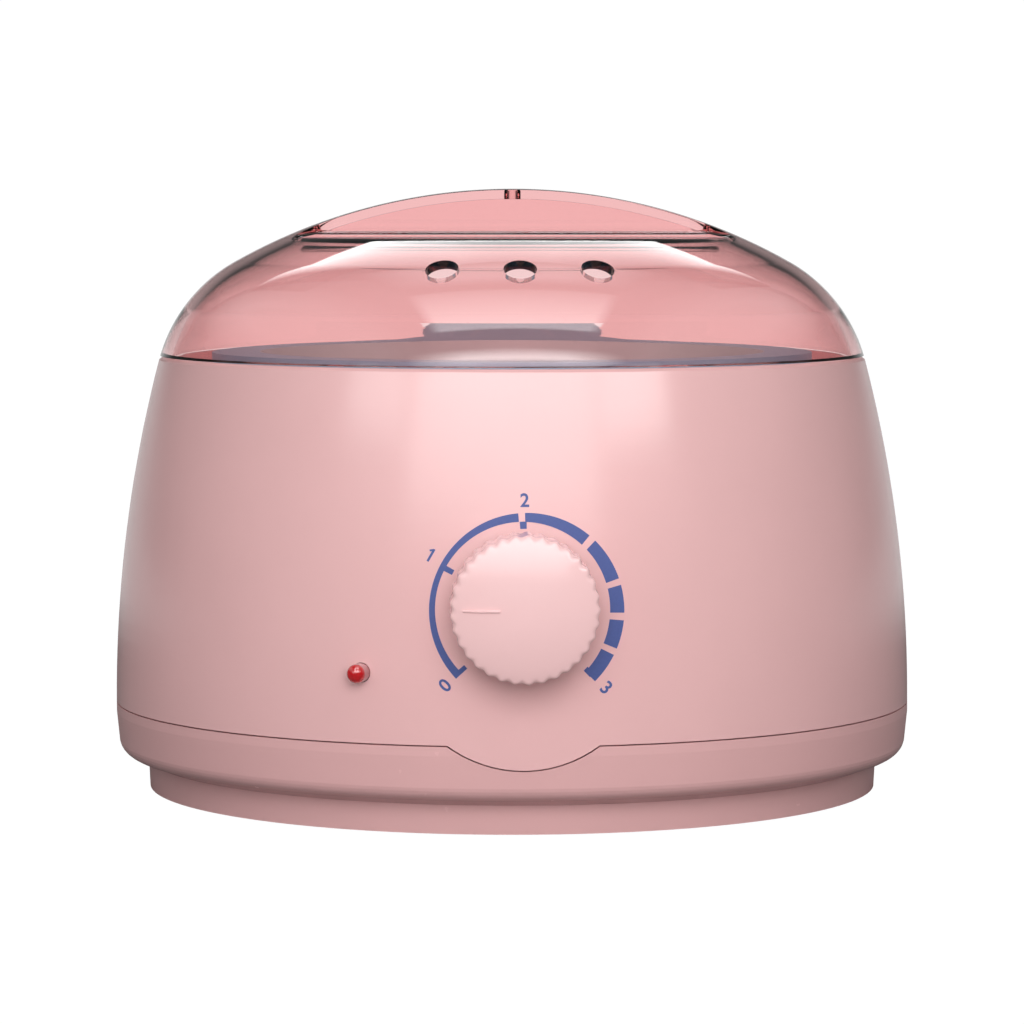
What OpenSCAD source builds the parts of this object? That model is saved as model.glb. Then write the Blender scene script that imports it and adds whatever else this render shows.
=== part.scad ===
// Wax warmer: a moulded two-part housing round a heated aluminium well, a lift-out wax pot,
// a clear domed lid with a grip ridge across its crown, and a thermostat behind a dial knob.
// The origin is on the well's axis at table level. +Z is up and the dial faces -Y.

/* [Housing] */
// How far the side bulges out between the rim and the seam
side_bulge = 10.2; // [9:0.2:12]
// Height of the rim above the table
rim_h = 98.2; // [94:1:106]
// Height of the seam between the two shells
seam_h = 20.6; // [19:0.5:23]
// Wall of both shells
wall = 2.5; // [2:0.1:3]
// Gap along the seam
seam_gap = 0.3; // [0.2:0.1:0.5]
// Radius of the rounded tongue below the dial
tongue_r = 27; // [24:1:30]
// How far the tongue reaches below the seam
tongue_drop = 5.1; // [3:0.1:6]
// Flat width of the rim
rim_land = 2.6; // [2:0.1:3]
// How far the deck lies below the rim
deck_drop = 2; // [1.5:0.1:3]

/* [Base] */
// How far the plinth is set in from the widest place
plinth_inset = 7.5; // [6:0.5:10]
// Height of the plinth
plinth_h = 6.2; // [5:0.1:7]
// Radius of the round edge under the base
base_round = 3.8; // [3:0.1:4.5]
// How far the rubber feet stand out below the plinth
foot_stand = 1; // [0.6:0.1:2]
// Radius of a rubber foot
foot_r = 8; // [6:0.5:9]
// How far a foot is set in from the plinth's inner side
foot_inset = 5.7; // [3:0.1:10]
// Number of ventilation slots in the base floor
slot_count = 12; // [8:4:16]
// Length of a ventilation slot
slot_len = 14; // [8:1:18]
// Width of a ventilation slot
slot_w = 3; // [2:0.5:4]
// Radius of a screw post
post_r = 4; // [3.5:0.1:4.5]
// Radius of a case screw's shank
screw_r = 1.5; // [1.2:0.1:1.8]

/* [Lid] */
// Height of the crown above the rim
lid_rise = 37.9; // [36:0.5:42]
// Radius of the lid's shoulder
shoulder_r = 36; // [32:1:38]
// How far the shoulder's centre lies below the rim
shoulder_drop = 10; // [8:1:12]
// Wall of the lid
lid_wall = 2.2; // [1.8:0.1:2.8]
// Height of the finger recesses' floor above the rim
recess_h = 26.8; // [24:0.5:29]
// Thickness of the grip ridge between the recesses
grip_t = 18; // [14:1:22]
// Length of a finger recess along the grip
recess_len = 100; // [80:2:104]
// Radius of a finger recess's corners
recess_corner = 10; // [8:1:14]
// Height of the thick collar at the lid's lower edge
collar_h = 4.6; // [3:0.2:6]
// How far that collar reaches in past the rim
collar_in = 3.4; // [2:0.2:5]
// Radius of a vent hole in the shoulder
vent_r = 3.7; // [2.5:0.1:4.5]
// How far the vent holes are set in from the lid's edge
vent_inset = 14.2; // [11:0.2:18]
// Angle between neighbouring vent holes
vent_step = 15; // [12:1:20]
// Radius of the pinhole in the crown
crown_vent_r = 1.9; // [1:0.1:2.5]

/* [Pot and well] */
// Radius of the pot's mouth
mouth_r = 57; // [54:0.5:58]
// Depth of the pot inside
pot_depth = 62; // [58:1:66]
// Wall of the pot
pot_wall = 1.2; // [0.8:0.1:1.6]
// Width of the pot's flange
pot_flange_w = 11; // [9:0.5:13]
// Gap between the pot's flange and the lid's collar
lid_clear = 5.8; // [4:0.2:8]
// Radius of the pot's inner bottom corner
pot_corner = 7; // [6:1:9]
// Gap between the pot and the well
pot_gap = 1; // [0.8:0.1:1.4]
// Wall of the heated well
well_wall = 1.5; // [1.2:0.1:1.8]
// Width of the well's flange
well_flange_w = 6.4; // [5.5:0.1:7]
// Height of the heating band
heater_h = 28; // [22:1:32]
// Thickness of the heating band
heater_t = 2; // [1.5:0.1:2.4]

/* [Dial and lamp] */
// How far the knob's axis lies below the rim
knob_drop = 48.3; // [46:0.5:50]
// Radius of the knob over its flutes
knob_r = 15.4; // [14:0.2:17]
// Depth of the knob from its back to its face
knob_depth = 14; // [12:0.5:16]
// Number of flutes round the knob
flute_count = 33; // [24:1:36]
// Depth of a flute
flute_depth = 0.4; // [0.2:0.1:0.6]
// Wall of the knob
knob_wall = 2.6; // [2:0.1:3]
// Radius of the thermostat's spindle
spindle_r = 3; // [2.5:0.1:3.2]
// Depth of the thermostat's block
stat_len = 13.2; // [12:0.2:15]
// Angle of the lamp to the left of the dial
lamp_angle = 22.1; // [20:0.1:30]
// Height of the lamp above the table
lamp_h = 35.3; // [33:0.5:40]
// Radius of the lamp's lens
lamp_r = 2; // [1.5:0.1:2.5]
// How far the lens stands out of the housing before its round end
lamp_out = 2.5; // [1.5:0.1:3]
// Radius of the flex that the rear gland grips
flex_r = 3.1; // [2.5:0.1:3.5]
// Length of the gland's grip on the flex
gland_grip = 8; // [6:0.5:12]
// Height of the rear gland above the table
gland_h = 32; // [30:1:40]

/* [Hidden] */
$fn = 96;

// Clearances, and the overlap that keeps a cut clean
fit_gap = 0.1;
run_gap = 0.05;
rest_gap = 0.3;
over = 1;

// Housing radii, from the pot's mouth outwards
pot_flange_r = mouth_r + pot_flange_w;
collar_in_r = pot_flange_r + lid_clear;
rim_in_r = collar_in_r + collar_in;
deck_r = rim_in_r - fit_gap;
rim_r = rim_in_r + rim_land;
body_r = rim_r + side_bulge;

// Housing levels
bulge_r = (pow(rim_h - seam_h, 2) + pow(body_r - rim_r, 2)) / (2 * (body_r - rim_r));
rim_edge = 0.6;
deck_h = rim_h - deck_drop;
deck_low = deck_h - wall;
tongue_low = seam_h - tongue_drop;
rib_t = 1.6;
rib_low = seam_h + 12;

// Base levels and radii
plinth_r = body_r - plinth_inset;
plinth_wall = wall + 0.3;
plinth_top = foot_stand + plinth_h;
plinth_flare = 0.3;
under_h = plinth_top + 1.3;
floor_low = foot_stand + 1.5;
floor_top = floor_low + wall;
base_top = seam_h - seam_gap;
base_side_r = body_r - 0.6;
lip_r = body_r - wall - fit_gap;
lip_t = 1.6;
lip_rise = 3;
lip_low = seam_h - 5;
slot_ring_r = 34;

// Screws, bosses and feet
post_ring_r = deck_r - post_r - fit_gap;
boss_rise = 2.5;
boss_top = floor_top + boss_rise;
boss_wall = 2.5;
post_low = boss_top + fit_gap;
post_top = deck_low - run_gap;
pilot_depth = 13;
head_r = 2 * screw_r;
head_t = 2.2;
cross_w = head_t / 3;
head_gap = 0.4;
foot_ring_r = plinth_r - plinth_wall - foot_inset - foot_r;
foot_edge = 0.6;
stem_r = 2.5;
bulb_grip = 0.9;
bulb_low = 1;
bulb_h = 2.4;

// Well and pot levels
gasket_t = 0.5;
flange_t = 1;
flange_lip = 0.9;
well_r = mouth_r + pot_wall + pot_gap;
well_out_r = well_r + well_wall;
well_top = deck_h + gasket_t + flange_t;
pot_top = well_top + rest_gap + flange_t;
pot_floor = pot_top - pot_depth;
well_floor = pot_floor - pot_wall - pot_gap - 0.5;
well_low = well_floor - well_wall;
deck_hole_r = well_out_r + 0.8;
support_r = 44;
support_w = 12;
support_t = 4;
leg_r = 5;

// Thermostat and dial places, measured from the axis towards the dial
knob_h = rim_h - knob_drop;
shell_front = bulge_x(knob_h);
pad_r = 9.5;
nut_seat = shell_front - 0.9;
pad_back = shell_front - 6.9;
nut_t = 2;
nut_wall = 2.2;
bush_r = spindle_r + 1;
bush_front = nut_seat + 2 * nut_t;
stat_w = 22;
stat_h = 20;
stat_back = pad_back - stat_len;
spindle_in = 4.5;
tab_w = 4;
tab_h = 6;
tab_t = 0.8;
sensor_w = 10;
sensor_h = 6;
knob_back = bulge_x(max(seam_h, knob_h - knob_r)) + rest_gap;
knob_face = knob_back + knob_depth;
knob_crown = 0.5;
knob_edge = 0.4;
knob_round_end = 80;
hub_r = spindle_r + 2.5;
hub_back = bush_front + 1;
spindle_flat = 0.8;
flute_r = 1.1;
knob_round = 2.6;
pointer_w = 0.3;
pointer_len = 7.6;
pointer_depth = 0.5;

// Heating band, and the straps that clear the sensor block
clamp_t = 0.6;
clamp_h = 4;
clamp_inset = 1.5;
clamp_ear = 8;
clamp_open = 8;
clamp_low = knob_h - sensor_h / 2 - clamp_h - 0.5;
heater_low = clamp_low - clamp_inset;
heater_r = well_out_r + fit_gap;
heater_out_r = heater_r + heater_t;
heater_open = 28;
clamp_r = heater_out_r + run_gap;
clamp_levels = [clamp_low, heater_low + heater_h - clamp_h - clamp_inset];
clamp_screw_r = 1;
clamp_head_r = 1.9;
clamp_head_t = 1.4;
clamp_screw_y = clamp_r + clamp_t + 4.2;

// Lamp, fuse, terminals and gland
lamp_shell = bulge_x(lamp_h);
lamp_foot = lamp_shell - 7;
lamp_flange = 0.4;
holder_wall = 1.8;
holder_base = 1.2;
board_t = 1.4;
board_w = 14;
board_h = 12;
fuse_r = 2;
fuse_x = 14;
fuse_len = 12;
clip_t = 0.6;
block_y = 45;
block_w = 26;
block_len = 14;
block_h = 11;
pole_r = 1.8;
pole_step = 8;
pole_screw_h = 5;
gland_r = flex_r + 1.4;
gland_lip = 1.8;
gland_flare = 0.4;
gland_shell = bulge_x(gland_h - gland_r);

// The lid's section: a crown arc that runs into a shoulder arc
lid_r = rim_r - fit_gap;
vent_ring_r = lid_r - vent_inset;
lid_low = rim_h + rest_gap;
crown_h = rim_h + lid_rise;
shoulder_z = rim_h - shoulder_drop;
shoulder_x = lid_r - sqrt(pow(shoulder_r, 2) - pow(lid_low - shoulder_z, 2));
crown_rise = crown_h - shoulder_z;
crown_r = (pow(shoulder_x, 2) + pow(crown_rise, 2) - pow(shoulder_r, 2)) / (2 * (crown_rise - shoulder_r));
crown_z = crown_h - crown_r;
crown_end = atan2(shoulder_z - crown_z, shoulder_x);

// Radius of the housing's bulged side at height z, drawn in by a wall
function bulge_x(z, in = 0) = body_r - bulge_r + sqrt(pow(bulge_r - in, 2) - pow(z - seam_h, 2));

// Points down or up the bulged side, between two heights
function bulge_points(z0, z1, in = 0, n = 20) =
    [for (i = [0:n]) let (z = z0 + (z1 - z0) * i / n) [bulge_x(z, in), z]];

// Points on an arc round a centre, from one angle to another
function arc(x, y, r, a0, a1, n = 8) =
    [for (i = [0:n]) let (a = a0 + (a1 - a0) * i / n) [x + r * cos(a), y + r * sin(a)]];

// Places a piece r away from the axis, at an angle from the front towards the left
module around(angle, r = 0, z = 0) rotate([0, 0, -angle]) translate([0, -r, z]) children();

// Stands a piece's own Z axis outwards through the front, at height z
module outwards(z, angle = 0) around(angle, 0, z) rotate([90, 0, 0]) children();

// A round bar that points outwards at height z, between two distances from the axis
module spoke(r0, r1, z, r, angle = 0)
    outwards(z, angle) translate([0, 0, r0]) cylinder(h = r1 - r0, r = r);

// A ring between two radii and two heights, which may leave an opening that faces one way
module ring(r0, r1, z0, z1, open = 0, facing = 0) rotate([0, 0, facing + open / 2])
    rotate_extrude(angle = 360 - open) translate([r0, z0]) square([r1 - r0, z1 - z0]);

module screw_places() for (a = [45:90:315]) around(a, post_ring_r) children();

module foot_places() for (a = [0:90:270]) around(a, foot_ring_r) children();

// The disc that cuts both the tongue and the notch it lies in
module tongue_disc(grow = 0) translate([0, 0, tongue_low + tongue_r]) rotate([90, 0, 0])
    cylinder(h = body_r + over, r = tongue_r + grow);

// The upper shell's section: bulged side, rim and inner side
module upper_outline() {
    low = tongue_low - over;
    polygon(concat(
        [[body_r, low]],
        bulge_points(seam_h, rim_h - rim_edge),
        [[bulge_x(rim_h) - rim_edge, rim_h], [rim_in_r, rim_h], [rim_in_r, deck_low - over]],
        bulge_points(deck_low - over, seam_h, wall),
        [[body_r - wall, low]]
    ));
}

// The room inside the upper shell, out to the middle of its wall
module shell_room() rotate_extrude() polygon(concat(
    [[0, seam_h]], bulge_points(seam_h, deck_low, wall / 2), [[0, deck_low]]));

module upper_shell() color("pink") difference() {
    union() {
        difference() {
            rotate_extrude() upper_outline();
            difference() {
                translate([0, 0, tongue_low - 2 * over])
                    cylinder(h = tongue_drop + 2 * over, r = body_r + over);
                tongue_disc();
            }
        }
        screw_places() translate([0, 0, post_low]) cylinder(h = post_top - post_low, r = post_r, $fn = 32);
        intersection() {
            shell_room();
            union() {
                spoke(pad_back, body_r, knob_h, pad_r);
                screw_places() translate([-rib_t / 2, post_ring_r - body_r, rib_low])
                    cube([rib_t, body_r - post_ring_r, post_top - rib_low]);
            }
        }
    }
    screw_places() translate([0, 0, post_low - over])
        cylinder(h = pilot_depth + over, r = screw_r + run_gap, $fn = 32);
    spoke(pad_back - over, body_r, knob_h, bush_r + fit_gap);
    spoke(nut_seat, body_r + over, knob_h, pad_r - 1);
    spoke(lamp_shell - 2 * wall, body_r + over, lamp_h, lamp_r + fit_gap, lamp_angle);
    spoke(body_r - 3 * wall, body_r + over, gland_h, gland_r + fit_gap, 180);
}

// A plate inside the rim, on the screw posts, that carries the well
module deck_ring() color("mistyrose") ring(deck_hole_r, deck_r, deck_low, deck_h);

// The base's section: plinth, sloping underside, round edge and side
module base_outline() {
    round_x = base_side_r - base_round;
    round_z = under_h + base_round;
    polygon(concat(
        [[0, floor_low], [plinth_r - plinth_wall, floor_low], [plinth_r - plinth_wall, foot_stand],
         [plinth_r, foot_stand], [plinth_r + plinth_flare, plinth_top]],
        arc(round_x, round_z, base_round, -90, 0),
        [[body_r, base_top - 2], [body_r, base_top], [body_r - wall, base_top]],
        arc(round_x, round_z, base_round - wall, 0, -90, 4),
        [[plinth_r - 1, plinth_top + wall], [plinth_r - plinth_wall, floor_top], [0, floor_top]]
    ));
}

// The locating lip that stands up inside the upper shell
module lip_outline() polygon([
    [lip_r - lip_t, seam_h + lip_rise], [lip_r - lip_t, lip_low + lip_t], [lip_r + wall / 2, lip_low],
    [lip_r + wall / 2, base_top], [lip_r, base_top], [lip_r, seam_h + lip_rise],
]);

module base_shell() color("lightpink") difference() {
    union() {
        rotate_extrude() base_outline();
        rotate_extrude() lip_outline();
        screw_places() translate([0, 0, floor_low])
            cylinder(h = boss_top - floor_low, r = post_r + boss_wall);
    }
    tongue_disc(seam_gap);
    screw_places() {
        translate([0, 0, floor_low - over]) cylinder(h = boss_top, r = screw_r + head_gap, $fn = 32);
        translate([0, 0, floor_low - over]) cylinder(h = over + head_t + fit_gap, r = head_r + head_gap);
    }
    foot_places() translate([0, 0, floor_low - over]) cylinder(h = wall + 2 * over, r = stem_r + fit_gap);
    for (i = [1:slot_count]) around(360 * (i - 0.5) / slot_count, slot_ring_r, floor_low - over)
        translate([-slot_w / 2, -slot_len / 2, 0]) cube([slot_w, slot_len, wall + 2 * over]);
}

// Push-in rubber feet: a pad, a stem through the floor and a bulb above it
module rubber_feet() color("dimgray") foot_places() rotate_extrude() polygon([
    [0, 0], [foot_r - foot_edge, 0], [foot_r, foot_edge], [foot_r, floor_low - run_gap],
    [stem_r, floor_low - run_gap], [stem_r, floor_top + run_gap],
    [stem_r + bulb_grip, floor_top + run_gap], [stem_r + bulb_grip, floor_top + bulb_low],
    [stem_r - bulb_grip, floor_top + bulb_h], [0, floor_top + bulb_h],
]);

// Pan-head screws driven up through the base into the posts
module case_screws() color("silver") screw_places() difference() {
    tip = post_low + pilot_depth - over;
    rotate_extrude($fn = 48) polygon([
        [0, floor_low], [0.75 * head_r, floor_low], [head_r, floor_low + 0.4 * head_t],
        [head_r, floor_low + head_t], [screw_r, floor_low + head_t], [screw_r, tip - screw_r],
        [screw_r / 2, tip], [0, tip],
    ]);
    for (a = [0, 90]) rotate([0, 0, a])
        translate([-head_r / 2, -cross_w / 2, floor_low - over])
        cube([head_r, cross_w, over + head_t / 2]);
}

// A bowl's section: a straight side, a round corner and a flat floor
module bowl_outline(r, top, low, corner, t) polygon(concat(
    [[0, low - t]], arc(r - corner, low + corner, corner + t, -90, 0), [[r + t, top], [r, top]],
    arc(r - corner, low + corner, corner, 0, -90), [[0, low]]));

module heater_well() color("lightsteelblue") rotate_extrude() union() {
    bowl_outline(well_r, well_top, well_floor, pot_corner + pot_gap, well_wall);
    translate([well_r, well_top - flange_t]) square([well_flange_w, flange_t]);
}

module well_gasket() color("white")
    ring(deck_hole_r + 0.3, well_r + well_flange_w - 0.3, deck_h, deck_h + gasket_t);

// A heat-resistant stool that carries the well on three legs
module well_support() color("saddlebrown") union() {
    ring(support_r - support_w, support_r, well_low - support_t, well_low);
    for (a = [60:120:300]) around(a, support_r - support_w / 2, floor_top)
        cylinder(h = well_low - support_t / 2 - floor_top, r = leg_r);
}

module heater_band() color("orangered")
    ring(heater_r, heater_out_r, heater_low, heater_low + heater_h, heater_open, 270);

// Steel straps round the heating band, with turned-out ears for the clamp screws
module band_clamps() color("gainsboro") for (z = clamp_levels) difference() {
    union() {
        ring(clamp_r, clamp_r + clamp_t, z, z + clamp_h, clamp_open, 90);
        for (side = [-1, 1]) rotate([0, 0, side * clamp_open / 2])
            translate([side > 0 ? -clamp_t : 0, clamp_r, z]) cube([clamp_t, clamp_ear, clamp_h]);
    }
    translate([-support_w, clamp_screw_y, z + clamp_h / 2]) rotate([0, 90, 0])
        cylinder(h = 2 * support_w, r = clamp_screw_r + fit_gap, $fn = 32);
}

// A clamp screw and its nut through the ears of each strap
module clamp_screws() color("silver") for (z = clamp_levels)
    translate([0, clamp_screw_y, z + clamp_h / 2]) rotate([0, 90, 0]) {
        ear_x = (clamp_screw_y + clamp_head_r) * tan(clamp_open / 2) + clamp_t + fit_gap;
        translate([0, 0, -ear_x - clamp_head_t])
            cylinder(h = 2 * ear_x + 3 * clamp_head_t, r = clamp_screw_r, $fn = 32);
        translate([0, 0, -ear_x - clamp_head_t]) cylinder(h = clamp_head_t, r = clamp_head_r, $fn = 32);
        translate([0, 0, ear_x]) cylinder(h = clamp_head_t, r = clamp_head_r, $fn = 6);
    }

// The thermostat's block, its bush and its two terminal tabs
module thermostat_body() color("ivory") difference() {
    union() {
        translate([-stat_w / 2, -pad_back, knob_h - stat_h / 2])
            cube([stat_w, pad_back - stat_back, stat_h]);
        spoke(pad_back - over, bush_front, knob_h, bush_r);
        for (side = [-1, 1])
            translate([side * stat_w / 3 - tab_w / 2, -pad_back + stat_h / 2, knob_h + stat_h / 2 - over])
            cube([tab_w, tab_t, tab_h + over]);
    }
    spoke(pad_back - spindle_in - rest_gap, bush_front + over, knob_h, spindle_r + run_gap);
}

module thermostat_nut() color("silver") difference() {
    outwards(knob_h) translate([0, 0, nut_seat]) cylinder(h = nut_t, r = bush_r + nut_wall, $fn = 6);
    spoke(nut_seat - over, nut_seat + nut_t + over, knob_h, bush_r + run_gap);
}

// A copper block that brings the well's heat to the thermostat
module sensor_block() color("peru") translate([-sensor_w / 2, -stat_back, knob_h - sensor_h / 2])
    cube([sensor_w, stat_back - well_out_r - run_gap, sensor_h]);

module thermal_fuse() color("tan") translate([fuse_x, 0, well_low - fuse_r - fit_gap]) rotate([90, 0, 0]) {
    cylinder(h = fuse_len, r = fuse_r, center = true);
    cylinder(h = 2 * fuse_len, r = fuse_r / 4, center = true, $fn = 24);
}

// A spring clip that holds the fuse against the well's floor
module fuse_clip() color("gainsboro") {
    in_w = 2 * (fuse_r + fit_gap);
    out_w = in_w + 2 * clip_t;
    translate([fuse_x - out_w / 2, -out_w / 2, well_low]) difference() {
        translate([0, 0, -in_w - clip_t]) cube([out_w, out_w, in_w + clip_t]);
        translate([clip_t, -over, -in_w]) cube([in_w, out_w + 2 * over, in_w + over]);
    }
}

module lamp_lens() color("red") outwards(lamp_h, lamp_angle) rotate_extrude($fn = 48) polygon(concat(
    [[0, lamp_foot], [lamp_r + lamp_flange, lamp_foot], [lamp_r + lamp_flange, lamp_foot + 1],
     [lamp_r, lamp_foot + 1]],
    arc(0, lamp_shell + lamp_out, lamp_r, 0, 90)));

// The cup that holds the lamp behind the shell
module lamp_holder() color("black") difference() {
    bore_r = lamp_r + lamp_flange + run_gap;
    spoke(lamp_foot - holder_base, lamp_shell - wall - rest_gap, lamp_h, bore_r + holder_wall, lamp_angle);
    spoke(lamp_foot - run_gap, body_r, lamp_h, bore_r, lamp_angle);
    spoke(lamp_foot - holder_base - over, body_r, lamp_h, lamp_r / 2, lamp_angle);
}

module lamp_board() color("green") outwards(lamp_h, lamp_angle)
    translate([-board_w / 2, -board_h / 2, lamp_foot - holder_base - fit_gap - board_t])
    cube([board_w, board_h, board_t]);

// The block that joins the flex to the inside leads
module terminal_block() color("linen") difference() {
    translate([-block_w / 2, block_y, floor_top]) cube([block_w, block_len, block_h]);
    for (i = [-1:1]) translate([i * pole_step, block_y, floor_top + block_h / 2]) {
        translate([0, -over, 0]) rotate([-90, 0, 0]) cylinder(h = block_len + 2 * over, r = pole_r);
        translate([0, block_len / 2, 0]) cylinder(h = block_h, r = pole_r + fit_gap);
    }
}

module terminal_screws() color("gold") for (i = [-1:1])
    translate([i * pole_step, block_y + block_len / 2, floor_top + block_h / 2]) difference() {
        cylinder(h = pole_screw_h, r = pole_r);
        translate([-pole_r - over, -pole_r / 6, pole_screw_h - pole_r / 2])
            cube([2 * (pole_r + over), pole_r / 3, pole_r]);
    }

// A rubber bush in the back of the upper shell, with a barrel outside that grips the flex
module cable_gland() color("dimgray") outwards(gland_h, 180) difference() {
    lip_r = gland_r + gland_lip / 2;
    lip = sqrt(pow(bulge_x(gland_h + lip_r, wall), 2) - pow(lip_r, 2)) - run_gap - gland_lip;
    flange = gland_shell + run_gap;
    grip = flange + gland_lip;
    union() {
        translate([0, 0, lip]) cylinder(h = grip + gland_grip - lip, r = gland_r);
        translate([0, 0, lip]) cylinder(h = gland_lip, r = lip_r);
        translate([0, 0, flange]) cylinder(h = gland_lip, r = gland_r + gland_lip);
    }
    translate([0, 0, lip - over]) cylinder(h = grip + gland_grip - lip + 2 * over, r = flex_r);
    translate([0, 0, lip - over]) cylinder(h = grip - lip + over, r = flex_r + gland_flare);
}

// A round shaft with a flat over the length that the knob grips
module spindle_section(gap, r0, r1) difference() {
    spoke(r0, r1, knob_h, spindle_r + gap);
    translate([-knob_r, -r1 - over, knob_h + spindle_r - spindle_flat + gap])
        cube([2 * knob_r, r1 - hub_back + over, spindle_r]);
}

module thermostat_spindle() color("silver")
    spindle_section(0, pad_back - spindle_in, knob_face - knob_wall - rest_gap);

// The knob's body: a round front edge, flutes round the side and a hollow back
module knob_cap() difference() {
    rotate_extrude() polygon(concat(
        [[0, knob_back], [knob_r - knob_edge, knob_back], [knob_r, knob_back + knob_edge]],
        arc(knob_r - knob_round, knob_face - knob_crown - knob_round, knob_round, 0, knob_round_end),
        [[0, knob_face]]));
    for (i = [1:flute_count]) rotate([0, 0, 360 * i / flute_count])
        translate([knob_r - flute_depth + flute_r, 0, knob_back - over])
        cylinder(h = knob_depth + 2 * over, r = flute_r, $fn = 24);
    translate([0, 0, knob_back - over]) cylinder(h = knob_depth - knob_wall + over, r = knob_r - knob_wall);
    translate([-knob_r + knob_round, -pointer_w / 2, knob_face - pointer_depth])
        cube([pointer_len, pointer_w, pointer_depth + over]);
}

module knob() color("pink") difference() {
    outwards(knob_h) union() {
        knob_cap();
        translate([0, 0, hub_back]) cylinder(h = knob_face - knob_wall / 2 - hub_back, r = hub_r);
    }
    spindle_section(run_gap, hub_back - over, knob_face - knob_wall);
}

module wax_pot() color("silver") rotate_extrude() union() {
    bowl_outline(mouth_r, pot_top, pot_floor, pot_corner, pot_wall);
    translate([mouth_r, pot_top - flange_t]) square([pot_flange_r - mouth_r, flange_t]);
    translate([pot_flange_r - flange_lip, pot_top - flange_t - flange_lip])
        square([flange_lip, flange_t + flange_lip]);
}

// The dome above a level, drawn in by a wall
module dome(in, low) {
    foot = asin((low - shoulder_z) / (shoulder_r - in));
    rotate_extrude() polygon(concat(
        [[0, low]],
        arc(shoulder_x, shoulder_z, shoulder_r - in, foot, crown_end, 14),
        arc(0, crown_z, crown_r - in, crown_end, 90, 10)
    ));
}

// The plan of a finger recess, with round corners beside the grip
module recess_plan(grow) {
    half = recess_len / 2 + grow;
    edge = grip_t / 2 - grow;
    round_r = recess_corner + grow;
    translate([-half, -2 * lid_r]) square([2 * half, 2 * lid_r - edge - round_r]);
    translate([round_r - half, -edge - round_r - over]) square([2 * (half - round_r), round_r + over]);
    for (side = [-1, 1]) translate([side * (half - round_r), -edge - round_r]) circle(r = round_r);
}

module recesses(grow) for (turn = [0, 180]) rotate([0, 0, turn])
    translate([0, 0, rim_h + recess_h - grow]) linear_extrude(lid_rise) recess_plan(grow);

module lid() color("lightcoral", 0.4) difference() {
    difference() {
        dome(0, lid_low);
        recesses(0);
    }
    difference() {
        dome(lid_wall, rim_h + collar_h);
        recesses(lid_wall);
    }
    translate([0, 0, rim_h]) cylinder(h = collar_h + over, r = collar_in_r);
    for (i = [-1:1]) around(i * vent_step, vent_ring_r, rim_h + collar_h) cylinder(h = lid_rise, r = vent_r);
    translate([0, 0, crown_h - 5 * lid_wall]) cylinder(h = 10 * lid_wall, r = crown_vent_r);
}

upper_shell();
deck_ring();
base_shell();
rubber_feet();
case_screws();
heater_well();
well_gasket();
well_support();
heater_band();
band_clamps();
clamp_screws();
thermostat_body();
thermostat_nut();
sensor_block();
thermal_fuse();
fuse_clip();
lamp_lens();
lamp_holder();
lamp_board();
terminal_block();
terminal_screws();
cable_gland();
thermostat_spindle();
knob();
wax_pot();
lid();
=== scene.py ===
"""Wax warmer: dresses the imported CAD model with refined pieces, materials, lights and a camera."""

import math

import bmesh
import bpy
from bpy.props import FloatProperty, FloatVectorProperty, IntProperty, PointerProperty
from mathutils import Matrix, Vector


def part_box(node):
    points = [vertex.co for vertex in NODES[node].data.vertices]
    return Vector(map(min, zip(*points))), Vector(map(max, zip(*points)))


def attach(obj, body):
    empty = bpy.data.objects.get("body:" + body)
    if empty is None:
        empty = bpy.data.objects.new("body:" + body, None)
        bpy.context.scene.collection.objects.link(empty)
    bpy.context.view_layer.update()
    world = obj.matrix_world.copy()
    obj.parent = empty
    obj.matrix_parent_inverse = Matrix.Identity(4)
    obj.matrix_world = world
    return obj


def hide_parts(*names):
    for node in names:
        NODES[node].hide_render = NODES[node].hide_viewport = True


bl_info = {
    "name": "Wax Warmer",
    "version": (1, 0, 0),
    "blender": (4, 5, 0),
    "location": "View3D > Sidebar > Wax Warmer",
    "description": "Builds the looks of a wax warmer around its CAD model",
    "category": "Object",
}

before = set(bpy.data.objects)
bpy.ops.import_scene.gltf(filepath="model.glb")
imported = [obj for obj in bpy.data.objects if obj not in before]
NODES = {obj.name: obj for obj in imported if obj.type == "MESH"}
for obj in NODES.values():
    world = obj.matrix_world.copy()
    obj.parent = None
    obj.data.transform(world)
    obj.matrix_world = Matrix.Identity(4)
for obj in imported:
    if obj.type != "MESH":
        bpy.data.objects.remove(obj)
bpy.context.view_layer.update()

MM = 0.001
TURN = 2 * math.pi
TONE_STEP = 4000  # how sharply one tone gives way to another, per metre
FOLD = 50  # degrees between two faces from which their edge is sharp


def low_high(node):
    """A CAD node's lowest and highest corners, in millimetres."""
    low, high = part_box(node)
    return [c / MM for c in low], [c / MM for c in high]


SHELL_HIGH = low_high("upper_shell")[1]
KNOB_LOW, KNOB_HIGH = low_high("knob")
LID_LOW, LID_HIGH = low_high("lid")
POT_HIGH = low_high("wax_pot")[1]


def length(title, text, default):
    """A length property in metres, whose default is written in millimetres."""
    return FloatProperty(name=title, description=text, default=default * MM, unit="LENGTH", precision=5)


def colour(title, text, default):
    """A colour property, in linear light."""
    return FloatVectorProperty(name=title, description=text, default=default, subtype="COLOR", min=0, max=1)


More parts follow.
